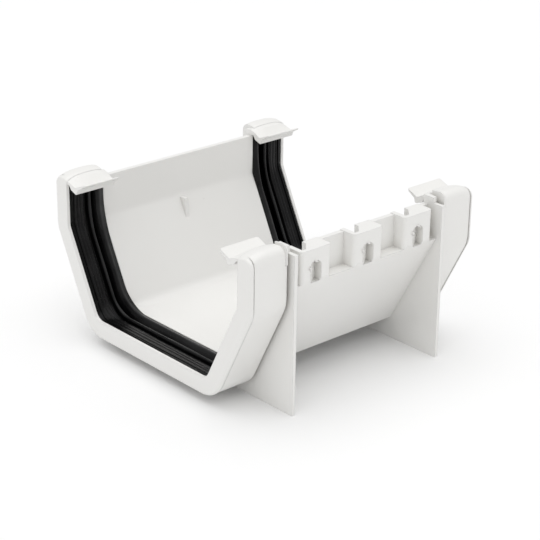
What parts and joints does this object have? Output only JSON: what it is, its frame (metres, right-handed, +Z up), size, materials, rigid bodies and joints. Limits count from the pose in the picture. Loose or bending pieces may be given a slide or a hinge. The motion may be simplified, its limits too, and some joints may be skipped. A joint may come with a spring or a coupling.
{
  "type": "gutter union",
  "caption": "White moulded union that joins lengths of square-line rain gutter, with a ribbed black rubber seal in each clipped socket and upright fins towards the fascia.",
  "frame": {"origin": "centre of the bounding box's underside, level with the feet of the two fins", "axes": "+X along the gutter, +Y towards the fascia, +Z up"},
  "size_m": [0.128, 0.1334, 0.0756],
  "materials": {
    "white_moulding": "soft gloss",
    "seal_rubber": "satin"
  },
  "bodies": {
    "root": {"union_body": "white_moulding", "seal_a": "seal_rubber", "seal_b": "seal_rubber"}
  },
  "joints": []
}
